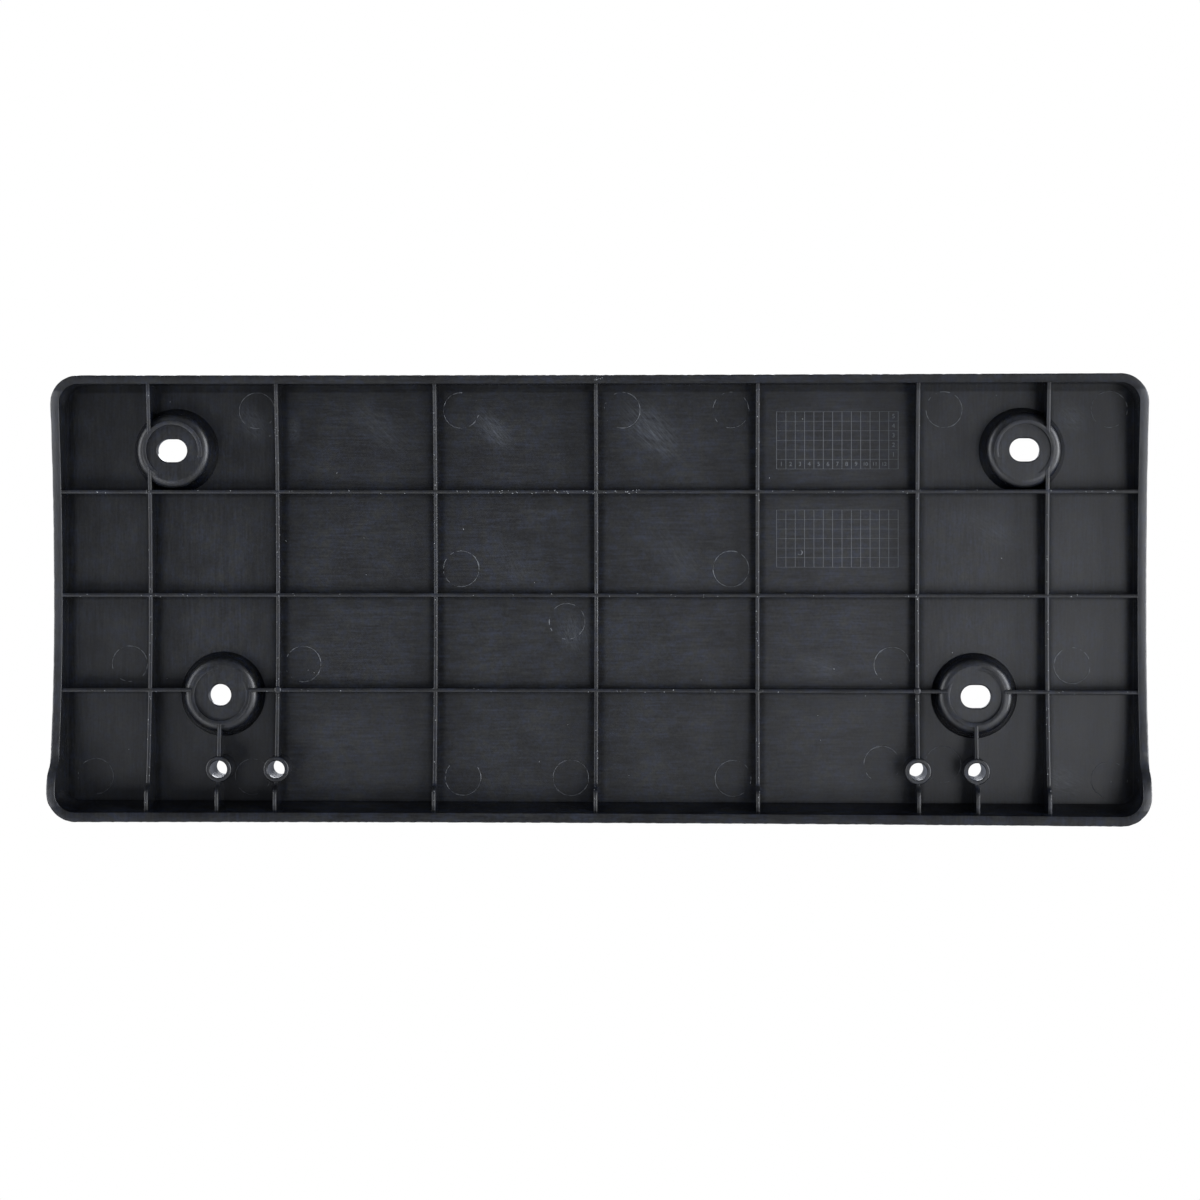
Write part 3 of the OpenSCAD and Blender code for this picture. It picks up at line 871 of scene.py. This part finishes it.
real = add(mark_tree, "GeometryNodeRealizeInstances", {"Geometry": sunk.outputs[0]})
painted = add(mark_tree, "GeometryNodeSetMaterial",
              {"Geometry": real.outputs[0], "Material": mark_in["Material"]})
mark_tree.links.new(painted.outputs[0], mark_out["Marks"])
print("mark tree:", len(mark_tree.nodes), "nodes")


# %% Helper for surface marks
def dress(name, mesh_object):
    """Turns a lying piece in mm into a finished one that rides on the holder."""
    mesh_object.data.transform(stand_up)
    mesh_object.name = mesh_object.data.name = name
    if not mesh_object.data.materials:
        mesh_object.data.materials.append(plastic)
    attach(mesh_object, "root")
    print(name, len(mesh_object.data.polygons), "faces")


# %% The ejector marks, and a small punched one
mark_d, bead_r = 10.0, 0.16
punch_d, punch_x, punch_y = 1.3, 56.7, 12.6
# The x places of the pins in each row, by the row's y.
rows_of_marks = {
    52.4: [-95.5, -38.0, 7.1, 37.5, 96.7, 142.4], 8.0: [-38.0, 37.5], -18.8: [-131.5, -82.5, 82.3, 132.1],
    -6.7: [-8.3], -50.5: [-141.2, -96.7, -37.5, -7.2, 38.1, 142.4], -46.4: [79.5, 96.4]}
spots = [(x, y, floor_t) for y, row in rows_of_marks.items() for x in row]
marks = grow("ejector_marks", mark_tree, {"Diameter": mark_d, "Bead": bead_r, "Material": rubbed}, spots)
dress("ejector_marks", marks)
punch = grow("punch_mark", mark_tree, {"Diameter": punch_d, "Bead": bead_r, "Material": rubbed},
             [(punch_x, punch_y, floor_t)])
dress("punch_mark", punch)

# %% [markdown]
# ## Date tables
#
# Two ruled tables are cut into the mould, so their lines stand up from the floor. The lower
# row of the first one counts months and its last column counts years, so that a press
# operator can punch the date in. A grid is lines repeated at a pitch, which one node tree
# gives for both tables. The figures are short pieces of text, made into meshes.

# %% Node tree for a ruled table
table_tree, table_in, table_out = new_tree("ruled_table", [
    ("Lines", "OUTPUT", "Geometry"), ("Columns", "INPUT", "Int"), ("Rows", "INPUT", "Int"),
    ("Pitch X", "INPUT", "Float"), ("Pitch Y", "INPUT", "Float"), ("Line Width", "INPUT", "Float"),
    ("Material", "INPUT", "Material")])
both_ways = []
# The lines across are half as wide as the upright ones, because the mould's are shallower.
for count, pitch, other, other_pitch, along, beside, weight in (
        ("Columns", "Pitch X", "Rows", "Pitch Y", "X", "Y", 1.0),
        ("Rows", "Pitch Y", "Columns", "Pitch X", "Y", "X", 0.5)):
    one_more = add(table_tree, "ShaderNodeMath", {0: table_in[count], 1: 1.0}, operation="ADD")
    length = add(table_tree, "ShaderNodeMath", {0: table_in[other], 1: table_in[other_pitch]},
                 operation="MULTIPLY").outputs[0]
    middle = add(table_tree, "ShaderNodeMath", {0: length, 1: 0.5}, operation="MULTIPLY")
    start = add(table_tree, "ShaderNodeCombineXYZ", {beside: middle.outputs[0]})
    stride = add(table_tree, "ShaderNodeCombineXYZ", {along: table_in[pitch]})
    line = add(table_tree, "GeometryNodeMeshLine",
               {"Count": one_more.outputs[0], "Start Location": start.outputs[0],
                "Offset": stride.outputs[0]})
    width = add(table_tree, "ShaderNodeMath", {0: table_in["Line Width"], 1: weight},
                operation="MULTIPLY").outputs[0]
    size = add(table_tree, "ShaderNodeCombineXYZ", {along: width, beside: length, "Z": width})
    bar = add(table_tree, "GeometryNodeMeshCube", {"Size": size.outputs[0]})
    bars = add(table_tree, "GeometryNodeInstanceOnPoints",
               {"Points": line.outputs[0], "Instance": bar.outputs[0]})
    both_ways.append(bars.outputs[0])
joined = add(table_tree, "GeometryNodeJoinGeometry")
for bars in both_ways:
    table_tree.links.new(bars, joined.inputs[0])
real = add(table_tree, "GeometryNodeRealizeInstances", {"Geometry": joined.outputs[0]})
painted = add(table_tree, "GeometryNodeSetMaterial",
              {"Geometry": real.outputs[0], "Material": table_in["Material"]})
table_tree.links.new(painted.outputs[0], table_out["Lines"])
print("table tree:", len(table_tree.nodes), "nodes")

# %% The tables and their figures
columns, rows, pitch_x, pitch_y = 13, 6, 2.6, 2.66
table_x, upper_table_y, lower_table_y = 50.2, 35.9, 8.5
for name, y, line_w in (("date_table_upper", upper_table_y, 0.14),
                        ("date_table_lower", lower_table_y, 0.12)):
    table = grow(name, table_tree, {
        "Columns": columns, "Rows": rows, "Pitch X": pitch_x, "Pitch Y": pitch_y,
        "Line Width": line_w, "Material": rubbed})
    table.data.transform(Matrix.Translation((table_x, y, floor_t)))
    dress(name, table)

# %% The figures: months below, years at the right
figure_h, two_digit_h, figure_relief = 1.7, 1.445, 0.12
figures = [(str(i + 1), i, 0) for i in range(12)] + [(str(i), 12, i) for i in range(1, 6)]
writing = bmesh.new()
for text, column, row in figures:
    letters = bpy.data.curves.new("figure", "FONT")
    letters.body = text
    letters.align_x = letters.align_y = "CENTER"
    letters.size = figure_h if len(text) == 1 else two_digit_h
    letters.extrude = figure_relief
    figure = bpy.data.objects.new("figure", letters)
    bpy.context.collection.objects.link(figure)
    shape = bpy.data.meshes.new_from_object(figure.evaluated_get(bpy.context.evaluated_depsgraph_get()))
    middle = (table_x + (column + 0.5) * pitch_x, upper_table_y + (row + 0.5) * pitch_y, floor_t)
    shape.transform(Matrix.Translation(middle))
    writing.from_mesh(shape)
    bpy.data.objects.remove(figure)
figure_mesh = bpy.data.meshes.new("date_figures")
writing.to_mesh(figure_mesh)
writing.free()
figure_mesh.materials.append(rubbed)
date_figures = bpy.data.objects.new("date_figures", figure_mesh)
bpy.context.collection.objects.link(date_figures)
dress("date_figures", date_figures)

# %% [markdown]
# ## Burrs and whitened specks
#
# Black polypropylene turns pale where it is torn or scuffed. Tiny pale crumbs sit along the
# ribs' crests, most of them on the upper long rib. A few lie on the floor, and a small nick
# whitens the middle of the top rim. They are scattered with a fixed seed, and each is a small
# rough pebble that is half sunk in.

# %% Material of the specks: torn and stretched until it turned pale and dry
speck = bpy.data.materials.new("stress_whitened_polypropylene")
speck.use_nodes = True
tree = speck.node_tree
tree.nodes.clear()
body = add(tree, "ShaderNodeBsdfPrincipled",
           {"Base Color": colour("#7f8285"), "Roughness": 0.6, "IOR": 1.49})
add(tree, "ShaderNodeOutputMaterial", {"Surface": body.outputs[0]})
print(speck.name)

# %% Node tree for specks
speck_tree, speck_in, speck_out = new_tree("scattered_pebbles", [
    ("Specks", "OUTPUT", "Geometry"), ("Places", "INPUT", "Geometry"), ("Largest", "INPUT", "Float"),
    ("Material", "INPUT", "Material")])
pebble = add(speck_tree, "GeometryNodeMeshIcoSphere", {"Radius": 1.0, "Subdivisions": 1})
points = add(speck_tree, "GeometryNodeMeshToPoints", {"Mesh": speck_in["Places"]})
spread = add(speck_tree, "FunctionNodeRandomValue",
             {"Min": (0.25, 0.2, 0.2), "Max": (1.0, 0.6, 0.5), "Seed": 5}, data_type="FLOAT_VECTOR")
sized = add(speck_tree, "ShaderNodeVectorMath", {0: spread.outputs[0], "Scale": speck_in["Largest"]},
            operation="SCALE")
turn = add(speck_tree, "FunctionNodeRandomValue",
           {"Min": (0, 0, 0), "Max": (0.6, 0.6, 2 * math.pi), "Seed": 8}, data_type="FLOAT_VECTOR")
copies = add(speck_tree, "GeometryNodeInstanceOnPoints",
             {"Points": points.outputs[0], "Instance": pebble.outputs[0], "Rotation": turn.outputs[0],
              "Scale": sized.outputs[0]})
real = add(speck_tree, "GeometryNodeRealizeInstances", {"Geometry": copies.outputs[0]})
painted = add(speck_tree, "GeometryNodeSetMaterial",
              {"Geometry": real.outputs[0], "Material": speck_in["Material"]})
speck_tree.links.new(painted.outputs[0], speck_out["Specks"])
print("speck tree:", len(speck_tree.nodes), "nodes")


# %% The specks
def on_edge(x, y, edge):
    """A place on a free edge."""
    return (x, y, edge_height(x, y, edge))


on_torn_rib, on_long_ribs, on_upright_ribs, on_the_floor, on_the_nick = 30, 130, 260, 30, 9
half_rib = 0.5
largest_speck = 0.24
crumbs = random.Random(11)
spots = []
for _ in range(on_torn_rib):
    x, y = crumbs.uniform(-30, 12), rib_rows[0] + crumbs.uniform(-half_rib, half_rib)
    spots.append(on_edge(x, y, rib_edge))
for _ in range(on_long_ribs):
    x = crumbs.uniform(-half_w + 4, half_w - 4)
    y = crumbs.choice(rib_rows) + crumbs.uniform(-half_rib, half_rib)
    spots.append(on_edge(x, y, rib_edge))
for _ in range(on_upright_ribs):
    x = crumbs.choice(rib_columns) + crumbs.uniform(-half_rib, half_rib)
    y = crumbs.uniform(-half_h + 4, half_h - 4)
    spots.append(on_edge(x, y, rib_edge))
for _ in range(on_the_floor):
    x, y = crumbs.uniform(-half_w + 5, half_w - 5), crumbs.uniform(-half_h + 7, half_h - 5)
    spots.append((x, y, floor_t))
for _ in range(on_the_nick):
    x, y = crumbs.uniform(-1.5, 2.0), half_h - crumbs.uniform(0.7, 1.5)
    spots.append(on_edge(x, y, rim_edge))
keep_clear = [(x, y) for x, y, *_ in cups]
keep_clear += [(side * x, boss_y) for side in (-1, 1) for x in (screw_x, seat_cup_x)]
spots = [p for p in spots if all(math.hypot(p[0] - x, p[1] - y) > cup_r + 1 for x, y in keep_clear)]
specks = grow("specks", speck_tree, {"Largest": largest_speck, "Material": speck}, spots)
dress("specks", specks)

# %% Finish
size = {"cad": [list(corner) for corner in cad_box], "visual": [list(corner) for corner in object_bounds()]}
